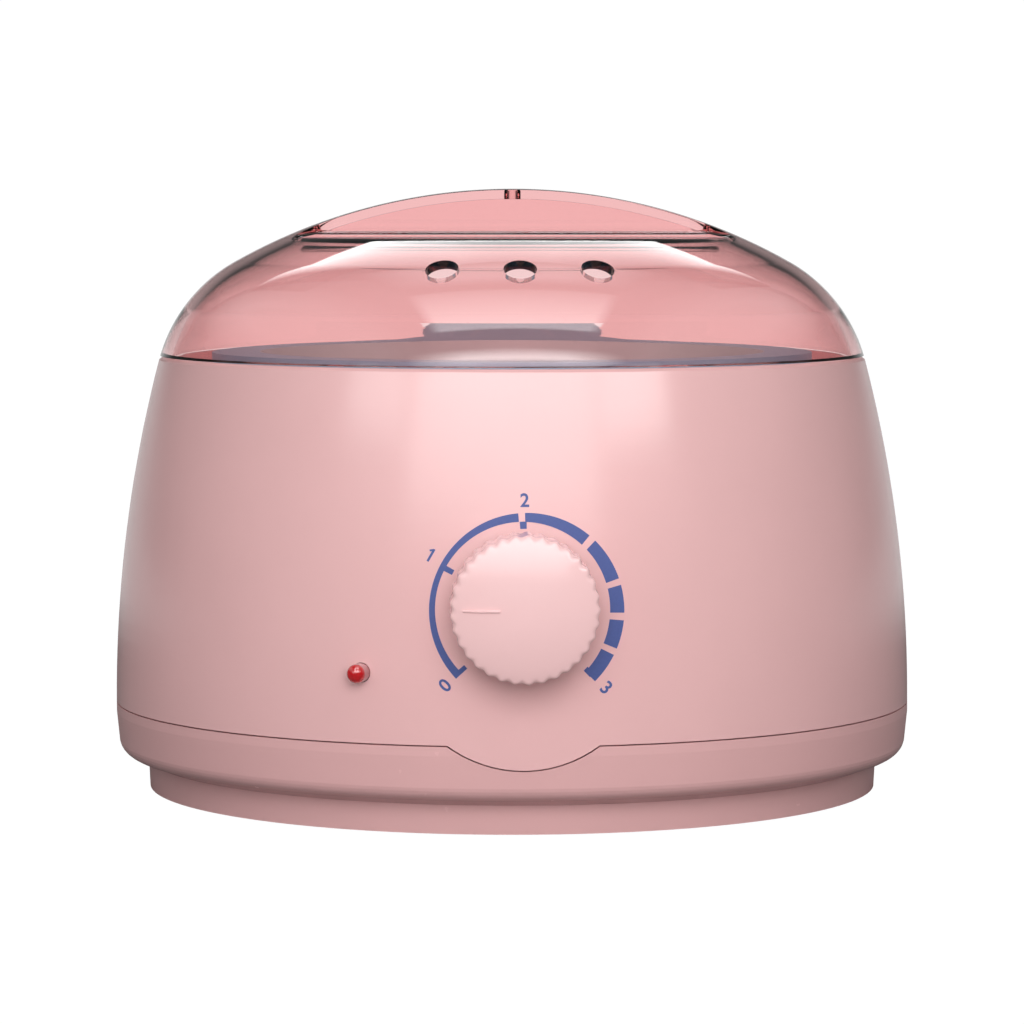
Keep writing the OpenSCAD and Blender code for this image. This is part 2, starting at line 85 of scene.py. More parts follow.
class WarmerSizes(bpy.types.PropertyGroup):
    """The driving sizes. Those that the CAD model sets are read from its frame."""
    body_r: length("Body radius", "Radius of the housing at the seam", SHELL_HIGH[0])
    rim_h: length("Rim height", "Height of the housing's rim above the table", SHELL_HIGH[2])
    rim_r: length("Rim radius", "Radius of the housing's rim", 79.8)
    seam_h: length("Seam height", "Height of the seam between the two shells", 20.6)
    knob_h: length("Knob height", "Height of the knob's axis", (KNOB_LOW[2] + KNOB_HIGH[2]) / 2)
    knob_r: length("Knob radius", "Radius of the knob over its flutes", (KNOB_HIGH[2] - KNOB_LOW[2]) / 2)
    knob_face: length("Knob face", "Distance from the axis to the knob's face", -KNOB_LOW[1])
    knob_back: length("Knob back", "Distance from the axis to the knob's back edge", -KNOB_HIGH[1])
    knob_dome: length("Knob dome", "Radius of the domed face of the knob", 45)
    knob_round: length("Knob rounding", "Radius of the knob's front edge", 1.0)
    knob_wall: length("Knob wall", "Wall of the knob", 2.6)
    flute_depth: length("Flute depth", "Depth of the knob's flutes", 0.42)
    flutes: IntProperty(name="Flutes", description="Number of flutes round the knob",
                        default=33, min=12, max=60)
    pointer_rise: length("Pointer height", "How far the pointer line stands out of the knob's face", 0.4)
    print_lift: length("Print lift", "How far the dial's print stands off the housing", 0.03)
    crown_h: length("Crown height", "Height of the lid's crown above the table", 136.06)
    shoulder_r: length("Shoulder radius", "Radius of the lid's shoulder", 36)
    shoulder_drop: length("Shoulder drop", "How far the shoulder's centre lies below the rim", 10)
    lid_wall: length("Lid wall", "Wall of the lid", 2.2)
    lower_h: length("Lower wall height", "Height of the lid's lower wall above the rim", 9.6)
    recess_h: length("Recess height", "Height of the finger recesses' floor above the rim", 26.8)
    recess_half: length("Recess half length", "Half the length of a finger recess", 50)
    recess_corner: length("Recess corner", "Radius of a recess's corners beside the grip", 10)
    recess_round: length("Recess rounding", "Radius between a recess's floor and its walls", 1.6)
    grip_half: length("Grip half thickness", "Half the thickness of the grip ridge", 9)
    vent_ring: length("Vent ring", "Distance of the vent holes from the axis", 64)
    vent_r: length("Vent radius", "Radius of a vent hole", 3.55)
    pinhole_r: length("Pinhole radius", "Radius of the pinhole in the crown", 1.9)


class WarmerColours(bpy.types.PropertyGroup):
    """The tones of the pieces that the photograph shows."""
    shell: colour("Shell", "Moulded plastic of the upper shell", (0.90, 0.535, 0.535))
    knob: colour("Knob", "Moulded plastic of the knob", (0.985, 0.63, 0.63))
    base: colour("Base", "Moulded plastic of the base", (0.84, 0.485, 0.485))
    ink: colour("Ink", "Ink of the dial", (0.090, 0.127, 0.352))
    lamp: colour("Lamp", "Lens of the pilot lamp", (0.55, 0.004, 0.008))
    lid: colour("Lid", "Tint of the lid's surface", (0.962, 0.69, 0.69))
    lid_depth: colour("Lid depth", "What the lid's plastic lets through", (0.90, 0.08, 0.08))
    pot: colour("Pot", "Metal of the pot", (0.30, 0.50, 0.66))
    pot_inside: colour("Pot inside", "Metal of the pot's inner side", (0.62, 0.66, 0.67))


class Value:
    """A number socket whose operators add Math nodes to its tree."""

    def __init__(self, tree, socket):
        self.tree, self.socket = tree, socket

    def math(self, operation, *others):
        node = self.tree.nodes.new("ShaderNodeMath")
        node.operation = operation
        for slot, item in zip(node.inputs, (self, *others)):
            feed(self.tree, slot, item)
        return Value(self.tree, node.outputs[0])

    def rising(self, start, slope, top=1):
        """A straight rise from 0 at a start to a top value. A negative slope turns it round."""
        return ((self - start) * slope).math("MAXIMUM", 0).math("MINIMUM", top)

    def __add__(self, other):
        return self.math("ADD", other)

    def __sub__(self, other):
        return self.math("SUBTRACT", other)

    def __mul__(self, other):
        return self.math("MULTIPLY", other)

    def __rsub__(self, other):
        return (self * -1) + other

    __radd__ = __add__
    __rmul__ = __mul__


def feed(tree, slot, item):
    """Links a socket, or sets a plain value."""
    if isinstance(item, Value):
        item = item.socket
    if isinstance(item, bpy.types.NodeSocket):
        tree.links.new(item, slot)
    elif isinstance(item, (tuple, list)) and slot.type == "RGBA" and len(item) == 3:
        slot.default_value = (*item, 1)
    else:
        slot.default_value = item


class Finish:
    """One surface finish: a material, its Principled shader and what varies over it."""

    def __init__(self, name, **sockets):
        self.material = bpy.data.materials.new(name)
        self.material.use_nodes = True
        self.tree = self.material.node_tree
        self.shader = self.tree.nodes["Principled BSDF"]
        self.output = self.tree.nodes["Material Output"]
        self.place = self.add("ShaderNodeTexCoord").outputs["Object"]
        for key, item in sockets.items():
            feed(self.tree, self.shader.inputs[key.replace("_", " ")], item)

    def add(self, kind, settings=None, sockets=None):
        """Adds a node: its settings first, then the values or links of its sockets."""
        node = self.tree.nodes.new(kind)
        for key, item in (settings or {}).items():
            setattr(node, key, item)
        for key, item in (sockets or {}).items():
            feed(self.tree, node.inputs[key], item)
        return node

    def axes(self):
        """The x, y and z of a place on the surface, in the object's own coordinates."""
        parts = self.add("ShaderNodeSeparateXYZ", None, {0: self.place})
        return [Value(self.tree, socket) for socket in parts.outputs]

    def noise(self, scale, detail=2.0, stretch=(1, 1, 1)):
        """Noise over the object's own coordinates, a number about 0.5."""
        place = self.add("ShaderNodeMapping", None, {"Vector": self.place, "Scale": stretch}).outputs[0]
        node = self.add("ShaderNodeTexNoise", None, {"Vector": place, "Scale": scale, "Detail": detail})
        return Value(self.tree, node.outputs[0])

    def blend(self, factor, first, second):
        """A colour between two others."""
        node = self.add("ShaderNodeMix", {"data_type": "RGBA"}, {0: factor, 6: first, 7: second})
        return node.outputs[2]

    def clouded(self, noise, tone, low, high):
        """A tone that a noise varies between a darker and a lighter share of it."""
        return self.blend(noise, shade(tone, low), shade(tone, high))

    def bump(self, height, strength, distance):
        """Adds fine relief that the mesh doesn't have. The distance is in metres."""
        node = self.add("ShaderNodeBump", None,
                        {"Height": height, "Strength": strength, "Distance": distance})
        feed(self.tree, self.shader.inputs["Normal"], node.outputs[0])
        return self

    def vary(self, **sockets):
        """Sets or links the shader's sockets, with an underscore for each space in their names."""
        for key, item in sockets.items():
            feed(self.tree, self.shader.inputs[key.replace("_", " ")], item)
        return self

    def dress(self, *pieces):
        """Puts the finish on pieces, in place of what they had."""
        for piece in pieces:
            piece.data.materials.clear()
            piece.data.materials.append(self.material)


def shade(tone, factor):
    """A tone made darker or lighter."""
    return tuple(min(1, c * factor) for c in tone)


def around(noise, middle, spread):
    """A number that a noise varies about a middle value."""
    return noise * spread + (middle - spread / 2)


def moulded(name, tone, roughness):
    """Injection-moulded gloss plastic: faint clouding, a fine grain and a little handling wear."""
    finish = Finish(name)
    cloud, grain, wear = finish.noise(45, 3), finish.noise(2600, 2), finish.noise(240, 4)
    finish.vary(Base_Color=finish.clouded(cloud, tone, 0.97, 1.03), Roughness=around(wear, roughness, 0.06))
    return finish.bump(grain, 0.04, 0.00008)


def matt(name, tone, roughness, grain=900, depth=0.15):
    """Matt moulded plastic or rubber with a fine pebbled grain."""
    finish = Finish(name)
    speck, cloud = finish.noise(grain, 3), finish.noise(80, 2)
    finish.vary(Base_Color=finish.clouded(cloud, tone, 0.85, 1.15), Roughness=around(speck, roughness, 0.16))
    return finish.bump(speck, depth, 0.0002)


def drawn(name, tone, roughness, stretch=(1, 1, 30), scale=900):
    """Metal with fine lines across one direction and faint clouding."""
    finish = Finish(name, Metallic=1.0)
    lines, cloud = finish.noise(scale, 3, stretch), finish.noise(70, 2)
    finish.vary(Base_Color=finish.clouded(cloud, tone, 0.88, 1.08), Roughness=around(lines, roughness, 0.2))
    return finish.bump(lines, 0.08, 0.00005)


def spun(name, tone, roughness, inner=None, inner_r=0.0):
    """Spun metal with fine rings round the upright axis.

    With an inner tone it is less like a mirror, and the tone and a rougher surface begin at a radius."""
    finish = Finish(name)
    x, y, z = finish.axes()
    radius = (x * x + y * y).math("SQRT")
    rings = finish.add("ShaderNodeTexNoise", {"noise_dimensions": "1D"},
                       {"W": radius + z * 0.7, "Scale": 2400, "Detail": 2})
    lines = Value(finish.tree, rings.outputs[0])
    cloud = finish.noise(50, 2)
    surface = finish.clouded(cloud, tone, 0.94, 1.05)
    metal, rough = 0.85, around(lines, roughness, 0.16)
    if inner:
        inside = radius.rising(inner_r * MM, -TONE_STEP)
        surface = finish.blend(inside, surface, finish.clouded(cloud, inner, 0.9, 1.05))
        metal, rough = inside * 0.1 + 0.25, rough + inside * 0.3
    finish.vary(Base_Color=surface, Metallic=metal, Roughness=rough)
    return finish.bump(lines, 0.10, 0.00004)


def as_object(name, work):
    """An object in the scene with the shape of a bmesh, which is freed."""
    mesh = bpy.data.meshes.new(name)
    work.to_mesh(mesh)
    work.free()
    item = bpy.data.objects.new(name, mesh)
    bpy.context.scene.collection.objects.link(item)
    return item


def new_piece(name, work, body, finish):
    """Makes a piece of the part from a bmesh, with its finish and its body."""
    piece = as_object(name, work)
    finish.dress(piece)
    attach(piece, body)
    return piece


def smooth_below(work, angle):
    """Smooth faces, with sharp edges where two faces meet at more than the given degrees."""
    for face in work.faces:
        face.smooth = True
    limit = math.radians(angle)
    for edge in work.edges:
        edge.smooth = len(edge.link_faces) == 2 and edge.calc_face_angle(0) < limit


def turned(section, steps):
    """A section of (radius, height) points in millimetres, from axis to axis, spun round the upright axis."""
    work = bmesh.new()
    points = [work.verts.new((r * MM, 0, z * MM)) for r, z in section]
    edges = [work.edges.new(pair) for pair in zip(points, points[1:])]
    bmesh.ops.spin(work, geom=points + edges, cent=(0, 0, 0), axis=(0, 0, 1), angle=TURN, steps=steps,
                   use_merge=True)
    bmesh.ops.remove_doubles(work, verts=work.verts, dist=0.001 * MM)
    bmesh.ops.recalc_face_normals(work, faces=work.faces)
    return work


def cut(item, *others):
    """Takes other solids away from an object with Boolean modifiers."""
    for other in others:
        change = item.modifiers.new("cut", "BOOLEAN")
        change.operation, change.solver, change.object = "DIFFERENCE", "EXACT", other


def settled(item, *others):
    """The bmesh of an object with its modifiers worked out. It and the solids it was cut with go."""
    graph = bpy.context.evaluated_depsgraph_get()
    mesh = bpy.data.meshes.new_from_object(item.evaluated_get(graph))
    work = bmesh.new()
    work.from_mesh(mesh)
    bpy.data.meshes.remove(mesh)
    for gone in (item, *others):
        bpy.data.objects.remove(gone)
    return work


def arc(x, z, radius, start, end, steps):
    """Points on an arc, in degrees."""
    angles = [math.radians(start + (end - start) * i / steps) for i in range(steps + 1)]
    return [(x + radius * math.cos(a), z + radius * math.sin(a)) for a in angles]


def bulge_x(z):
    """Radius of the housing's bulged side, in millimetres, at a height in millimetres."""
    sizes = bpy.context.scene.warmer_sizes
    body, rim, top, seam = (v / MM for v in (sizes.body_r, sizes.rim_r, sizes.rim_h, sizes.seam_h))
    round_r = ((top - seam) ** 2 + (body - rim) ** 2) / (2 * (body - rim))
    return body - round_r + math.sqrt(round_r ** 2 - (z - seam) ** 2)


def lay_on_side(work, lift):
    """Moves points drawn in the XZ plane straight back on to the housing's front."""
    for vert in work.verts:
        r = bulge_x(vert.co.z / MM) * MM + lift
        vert.co.y = -math.sqrt(r * r - vert.co.x ** 2)


class WARMER_OT_housing(bpy.types.Operator):
    """Gives the two moulded shells their finishes"""
    bl_idname = "warmer.housing"
    bl_label = "Housing"

    def execute(self, context):
        tones = context.scene.warmer_colours
        moulded("shell_plastic", tuple(tones.shell), 0.18).dress(NODES["upper_shell"])
        moulded("base_plastic", tuple(tones.base), 0.26).dress(NODES["base_shell"])
        return {"FINISHED"}


class WARMER_OT_knob(bpy.types.Operator):
    """Makes the fluted knob with its domed face and its fine pointer line"""
    bl_idname = "warmer.knob"
    bl_label = "Knob"

    LEAD = 0.4  # mm, the chamfer of the back edge
    POINTER = (-12.8, -5.2, 0.4)  # mm, where the line starts and ends, and its width
    POINTER_ROUND = 0.08  # mm

    def execute(self, context):
        sizes = context.scene.warmer_sizes
        finish = moulded("knob_plastic", tuple(context.scene.warmer_colours.knob), 0.14)
        r, back, front, dome, edge, wall, rise = (getattr(sizes, key) / MM for key in (
            "knob_r", "knob_back", "knob_face", "knob_dome", "knob_round", "knob_wall", "pointer_rise"))
        front -= rise
        edge_x = r - edge
        middle = front - dome
        edge_z = middle + math.sqrt((dome - edge) ** 2 - edge_x ** 2)
        turn = math.degrees(math.acos(edge_x / (dome - edge)))
        hollow = front - (dome - math.sqrt(dome ** 2 - edge_x ** 2)) - wall
        side = back + self.LEAD
        section = [(0, hollow), (r - wall, hollow), (r - wall, back), (r - self.LEAD, back)]
        section += [(r, side + (edge_z - side) * i / 8) for i in range(8)]
        section += arc(edge_x, edge_z, edge, 0, turn, 10) + arc(0, middle, dome, turn, 90, 16)[1:]
        work = turned(section, 10 * sizes.flutes)
        self.flute(work, edge_x, r - self.LEAD)
        self.face_front(work)
        smooth_below(work, FOLD)
        knob = new_piece("knob_cap", work, "knob", finish)
        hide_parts("knob")
        new_piece("pointer_line", self.pointer(middle, dome, rise), "knob", finish)
        return {"FINISHED"}

    def flute(self, work, start, full):
        """Presses the flutes into the side. They run out between two radii, on both edges."""
        sizes = bpy.context.scene.warmer_sizes
        for vert in work.verts:
            radius = vert.co.xy.length / MM
            share = min(1, max(0, (radius - start) / (full - start)))
            wave = 0.5 - 0.5 * math.cos(sizes.flutes * math.atan2(vert.co.y, vert.co.x))
            if share:
                vert.co.xy *= 1 - sizes.flute_depth / MM * share * wave / radius

    def pointer(self, middle, dome, rise):
        """A fine raised line that follows the domed face and reaches as far below it."""
        start, end, width = self.POINTER
        work = bmesh.new()
        bmesh.ops.create_grid(work, x_segments=16, y_segments=1, size=0.5)
        bmesh.ops.extrude_face_region(work, geom=work.faces[:])
        half = len(work.verts) // 2
        for place, vert in enumerate(work.verts):
            x = start + (vert.co.x + 0.5) * (end - start)
            y = vert.co.y * width
            level = middle + math.sqrt(dome ** 2 - x ** 2 - y ** 2)
            vert.co = Vector((x, y, level + (rise if place >= half else -rise))) * MM
        bmesh.ops.recalc_face_normals(work, faces=work.faces)
        rims = [e for e in work.edges if len(e.link_faces) == 2 and e.calc_face_angle(0) > math.radians(FOLD)]
        bmesh.ops.bevel(work, geom=rims, offset=self.POINTER_ROUND * MM, affect="EDGES", segments=3,
                        profile=0.5, material=-1)
        self.face_front(work)
        smooth_below(work, FOLD)
        return work

    def face_front(self, work):
        """Turns a shape drawn upright so that it faces the front at the knob's height."""
        height = bpy.context.scene.warmer_sizes.knob_h
        bmesh.ops.rotate(work, verts=work.verts, matrix=Matrix.Rotation(math.radians(90), 3, "X"))
        bmesh.ops.translate(work, verts=work.verts, vec=(0, 0, height))


class WARMER_OT_dial(bpy.types.Operator):
    """Prints the dial's ring of arcs, its ticks and its numbers on the housing"""
    bl_idname = "warmer.dial"
    bl_label = "Dial"

    RING = (18.16, 20.27)  # mm, the arcs' inner and outer radius
    CENTRE, INNER_CENTRE = (0.72, 0, 48.52), (-0.15, 0, 48.79)  # mm, of the arcs and of their inner edge
    # Degrees, where each arc starts and ends, anticlockwise from the right.
    ARCS = ((-46, -27), (-23, -6), (-1.5, 15), (19, 45.5), (50, 91), (95, 223.5))
    # Each tick's angle, its inner and outer radius in mm, and its width in degrees.
    TICKS = ((222, 17.1, 18.9, 3.2), (152.5, 17.2, 19.4, 3.6),
             (92.3, 17.0, 18.5, 4.5), (-44.5, 17.0, 18.9, 3.8))
    # Each number, its angle on the dial and the turn of the number itself, in degrees.
    NUMBERS = (("0", 222, 45), ("1", 150, -30), ("2", 91, 0), ("3", -44, -44))
    NUMBER_R, NUMBER_SIZE, NUMBER_WEIGHT = 22.9, 3.9, 0.075  # mm
    # Outline of the 1 in mm, which isn't taken from the font.
    ONE = ((-0.24, -1.45), (0.24, -1.45), (0.24, 1.45), (-0.12, 1.45),
           (-0.85, 0.85), (-0.6, 0.55), (-0.24, 0.84))

    def execute(self, context):
        ink = Finish("dial_ink", Roughness=0.45, Specular_IOR_Level=0.12)
        tone = tuple(context.scene.warmer_colours.ink)
        ink.vary(Base_Color=ink.clouded(ink.noise(1800, 2), tone, 0.92, 1.08))
        centre, inner_centre = Vector(self.CENTRE) * MM, Vector(self.INNER_CENTRE) * MM
        work = bmesh.new()
        for start, end in self.ARCS:
            self.sector(work, centre, start, end, *self.RING)
            self.move_inner_edge(work, centre, inner_centre)
        for angle, low, high, width in self.TICKS:
            self.sector(work, centre, angle - width / 2, angle + width / 2, low, high)
        lay_on_side(work, context.scene.warmer_sizes.print_lift)
        bmesh.ops.recalc_face_normals(work, faces=work.faces)
        new_piece("dial_ring", work, "housing", ink)
        for number, angle, turn in self.NUMBERS:
            self.number(context, number, angle, turn, centre, ink)
        return {"FINISHED"}

    def sector(self, work, centre, start, end, low, high):
        """A strip of a ring between two angles and two radii."""
        line = [work.verts.new(centre + Vector((r * MM, 0, 0))) for r in (low, high)]
        edge = work.edges.new(line)
        first = Matrix.Rotation(-math.radians(start), 3, "Y")
        bmesh.ops.rotate(work, verts=line, cent=centre, matrix=first)
        steps = max(3, round((end - start) / 1.5))
        bmesh.ops.spin(work, geom=line + [edge], cent=centre, axis=(0, -1, 0),
                       angle=math.radians(end - start), steps=steps)

    def move_inner_edge(self, work, centre, inner_centre):
        """Moves the arcs' inner edge on to a circle with a centre of its own, so that they taper."""
        low = self.RING[0] * MM
        off = inner_centre - centre
        for vert in work.verts:
            if abs((vert.co - centre).length - low) < 1e-7:
                way = (vert.co - centre).normalized()
                along = off.dot(way)
                vert.co = centre + way * (along + math.sqrt(low ** 2 - off.length_squared + along ** 2))

    def number(self, context, text, angle, turn, centre, ink):
        """Prints one number, turned by an angle of its own."""
        work = bmesh.new()
        if text == "1":
            work.faces.new([work.verts.new((x * MM, y * MM, 0)) for x, y in self.ONE])
        else:
            curve = bpy.data.curves.new("number_" + text, "FONT")
            curve.body, curve.size, curve.offset = text, self.NUMBER_SIZE * MM, self.NUMBER_WEIGHT * MM
            curve.resolution_u = 6
            shape = bpy.data.objects.new("number_" + text, curve)
            context.scene.collection.objects.link(shape)
            work.from_mesh(bpy.data.meshes.new_from_object(
                shape.evaluated_get(context.evaluated_depsgraph_get())))
            bpy.data.objects.remove(shape)
            low, high = (Vector(f(v.co[i] for v in work.verts) for i in range(3)) for f in (min, max))
            bmesh.ops.translate(work, verts=work.verts, vec=-(low + high) / 2)
        for degrees, axis in ((turn, "Z"), (90, "X")):
            bmesh.ops.rotate(work, verts=work.verts, matrix=Matrix.Rotation(math.radians(degrees), 3, axis))
        a = math.radians(angle)
        way = Vector((math.cos(a), 0, math.sin(a)))
        bmesh.ops.translate(work, verts=work.verts, vec=centre + way * self.NUMBER_R * MM)
        lay_on_side(work, context.scene.warmer_sizes.print_lift)
        new_piece("number_" + text, work, "housing", ink)


class WARMER_OT_lamp(bpy.types.Operator):
    """Gives the pilot lamp its red dome on a paler stem"""
    bl_idname = "warmer.lamp"
    bl_label = "Pilot lamp"

    ANGLE = 22.1  # degrees to the left of the front
    STEM_END = 92.1  # mm from the axis
    STEM_TONE = (0.42, 0.12, 0.13)
    STEM_STEP = 2500  # how sharply the stem's tone gives way to the dome's, per metre

    def execute(self, context):
        finish = Finish("lamp_plastic", Coat_Weight=1.0, Coat_Roughness=0.03, Specular_IOR_Level=0.6)
        cloud = finish.noise(500, 2)
        angle = math.radians(self.ANGLE)
        out = finish.add("ShaderNodeVectorMath", {"operation": "DOT_PRODUCT"},
                         {0: finish.place, 1: Vector((-math.sin(angle), -math.cos(angle), 0))})
        dome = Value(finish.tree, out.outputs["Value"]).rising(self.STEM_END * MM, self.STEM_STEP)
        red = finish.clouded(cloud, tuple(context.scene.warmer_colours.lamp), 0.85, 1.2)
        finish.vary(Base_Color=finish.blend(dome, self.STEM_TONE, red), Roughness=cloud * 0.04 + 0.1)
        finish.dress(NODES["lamp_lens"])
        return {"FINISHED"}


class WARMER_OT_lid(bpy.types.Operator):
    """Makes the clear domed lid with its finger recesses, vent holes and pinhole"""
    bl_idname = "warmer.lid"
    bl_label = "Lid"

    STEPS = 224  # round the axis
    FOLD = 28  # degrees, as the recesses' edges are blunt
    VENTS = (-15, 0, 15)  # degrees round the axis from the front
    VENT_RISE = 20.6  # mm above the rim
    VENT_TILT = 34  # degrees from upright, square to the shoulder
    VENT_DEPTH, PINHOLE_DEPTH = 14, 20  # mm, more than the wall
    RECESS_TALL, RECESS_FAR = 30, 100  # mm, past the crown and past the side
    LOWER_STEPS = 17  # of the lower wall's inner side
    LOWER_PAST = 2  # mm that the hollow reaches below the foot
    LOWER_FLAT = 5.3  # mm above the foot, from where the lower wall thins upwards
    LOWER_THINNING = 0.0086  # per mm, how fast it thins there
    LOWER_TAPER = 0.0125  # how fast it thickens upwards, all the way
    ACRYLIC_IOR = 1.49
    DENSITY = 16  # of the tint, per metre
    SHADOW_TONE = (0.98, 0.90, 0.90)

    def execute(self, context):
        sizes = context.scene.warmer_sizes
        wall = sizes.lid_wall / MM
        outside = as_object("tool", self.dome(0, LID_LOW[2]))
        inside = as_object("tool", self.dome(wall, sizes.rim_h / MM + sizes.lower_h / MM))
        recesses, hollows = as_object("tool", self.recesses(0)), as_object("tool", self.recesses(wall))
        holes = as_object("tool", self.holes())
        cut(inside, hollows)
        cut(outside, recesses, inside, holes)
        work = settled(outside, inside, recesses, hollows, holes)
        bmesh.ops.remove_doubles(work, verts=work.verts, dist=0.02 * MM)
        bmesh.ops.recalc_face_normals(work, faces=work.faces)
        smooth_below(work, self.FOLD)
        lid = new_piece("lid_dome", work, "lid", self.finish(context))
        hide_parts("lid")
        return {"FINISHED"}

    def dome(self, drawn_in, low):
        """The dome's solid above a level: a crown arc that runs into a shoulder arc.

        Drawn in, it is the lid's hollow, which goes on below the level."""
        sizes = bpy.context.scene.warmer_sizes
        rim, crown, round_r, drop = (getattr(sizes, key) / MM for key in (
            "rim_h", "crown_h", "shoulder_r", "shoulder_drop"))
        centre_z = rim - drop
        centre_x = LID_HIGH[0] - math.sqrt(round_r ** 2 - (LID_LOW[2] - centre_z) ** 2)
        rise = crown - centre_z
        crown_r = (centre_x ** 2 + rise ** 2 - round_r ** 2) / (2 * (rise - round_r))
        meet = math.degrees(math.atan2(centre_z - crown + crown_r, centre_x))
        foot = math.degrees(math.asin((low - centre_z) / (round_r - drawn_in)))
        section = [(0, low)]
        if drawn_in:
            section = self.lower_side(centre_x, centre_z, round_r, drawn_in, low)
        section += arc(centre_x, centre_z, round_r - drawn_in, foot, meet, 28)
        section += arc(0, crown - crown_r, crown_r - drawn_in, meet, 90, 24)[1:]
        return turned(section, self.STEPS)

    def lower_side(self, centre_x, centre_z, round_r, drawn_in, low):
        """The hollow's section below a level. It follows the outer side, a thicker wall away from it."""
        def side(z, radius):
            return centre_x + math.sqrt(radius ** 2 - (z - centre_z) ** 2)

        start, flat = LID_LOW[2] - self.LOWER_PAST, LID_LOW[2] + self.LOWER_FLAT
        thin = side(low, round_r) - side(low, round_r - drawn_in)
        section = [(0, start)]
        for i in range(self.LOWER_STEPS):
            z = start + (low - start) * i / self.LOWER_STEPS
            bow = (low - flat) ** 2 - max(0, z - flat) ** 2
            thick = thin + self.LOWER_THINNING * bow - self.LOWER_TAPER * (low - z)
            section.append((side(z, round_r) - thick, z))
        return section

    def recesses(self, grow):
        """Both finger recesses as solids, with a rounded floor edge."""
        sizes = bpy.context.scene.warmer_sizes
        half, edge = sizes.recess_half / MM + grow, sizes.grip_half / MM - grow
        corner, far = sizes.recess_corner / MM + grow, self.RECESS_FAR
        low = (sizes.rim_h + sizes.recess_h) / MM - grow
        plan = [(-half, -far), *arc(corner - half, -edge - corner, corner, 180, 90, 12),
                *arc(half - corner, -edge - corner, corner, 90, 0, 12), (half, -far)]
        both = bmesh.new()
        for _ in range(2):
            bmesh.ops.rotate(both, verts=both.verts, matrix=Matrix.Rotation(math.pi, 3, "Z"))
            points = [both.verts.new((x * MM, y * MM, low * MM)) for x, y in plan]
            base = both.faces.new(points)
            sides = bmesh.ops.extrude_face_region(both, geom=[base])["geom"]
            lifted = [v for v in sides if isinstance(v, bmesh.types.BMVert)]
            bmesh.ops.translate(both, verts=lifted, vec=(0, 0, self.RECESS_TALL * MM))
            rims = [e for e in both.edges if all(v in points for v in e.verts)]
            bmesh.ops.bevel(both, geom=rims, offset=sizes.recess_round + grow * MM, affect="EDGES",
                            segments=8, profile=0.5, material=-1, offset_type="OFFSET")
        bmesh.ops.recalc_face_normals(both, faces=both.faces)
        return both

    def holes(self):
        """The vent holes through the shoulder and the pinhole in the crown, as solids."""
        sizes = bpy.context.scene.warmer_sizes
        work = bmesh.new()
        shoulder = Matrix.Translation((0, -sizes.vent_ring, sizes.rim_h + self.VENT_RISE * MM))
        tilt = Matrix.Rotation(math.radians(self.VENT_TILT), 4, "X")
        spots = [(Matrix.Rotation(math.radians(angle), 4, "Z") @ shoulder @ tilt, sizes.vent_r,
                  self.VENT_DEPTH) for angle in self.VENTS]
        spots.append((Matrix.Translation((0, 0, sizes.crown_h)), sizes.pinhole_r, self.PINHOLE_DEPTH))
        for spot, radius, depth in spots:
            bmesh.ops.create_cone(work, cap_ends=True, segments=64, radius1=radius, radius2=radius,
                                  depth=depth * MM, matrix=spot)
        return work

    def finish(self, context):
        """Clear tinted plastic, which lets shadow rays and scattered light straight through."""
        tones = context.scene.warmer_colours
        clear = Finish("lid_plastic", Transmission_Weight=1.0, IOR=self.ACRYLIC_IOR)
        haze = clear.noise(30, 2)
        clear.vary(Base_Color=clear.clouded(haze, tuple(tones.lid), 0.995, 1.005), Roughness=haze * 0.012)
        let_through = clear.add("ShaderNodeBsdfTransparent", None, {"Color": self.SHADOW_TONE})
        rays = clear.add("ShaderNodeLightPath").outputs
        either = Value(clear.tree, rays["Is Shadow Ray"]).math("MAXIMUM", rays["Is Diffuse Ray"])
        mix = clear.add("ShaderNodeMixShader", None,
                        {0: either, 1: clear.shader.outputs[0], 2: let_through.outputs[0]})
        depth = clear.add("ShaderNodeVolumeAbsorption", None,
                          {"Color": tuple(tones.lid_depth), "Density": self.DENSITY})
        feed(clear.tree, clear.output.inputs["Surface"], mix.outputs[0])
        feed(clear.tree, clear.output.inputs["Volume"], depth.outputs[0])
        return clear


class WARMER_OT_pot(bpy.types.Operator):
    """Gives the pot and the well their spun metal"""
    bl_idname = "warmer.pot"
    bl_label = "Pot and well"

    FLANGE = 10.7  # mm from the pot's outermost edge to its mouth

    def execute(self, context):
        outer, inner = (tuple(tone) for tone in (context.scene.warmer_colours.pot,
                                                 context.scene.warmer_colours.pot_inside))
        spun("pot_metal", outer, 0.36, inner, POT_HIGH[0] - self.FLANGE).dress(NODES["wax_pot"])
        spun("well_metal", shade(inner, 0.85), 0.4).dress(NODES["heater_well"])
        return {"FINISHED"}


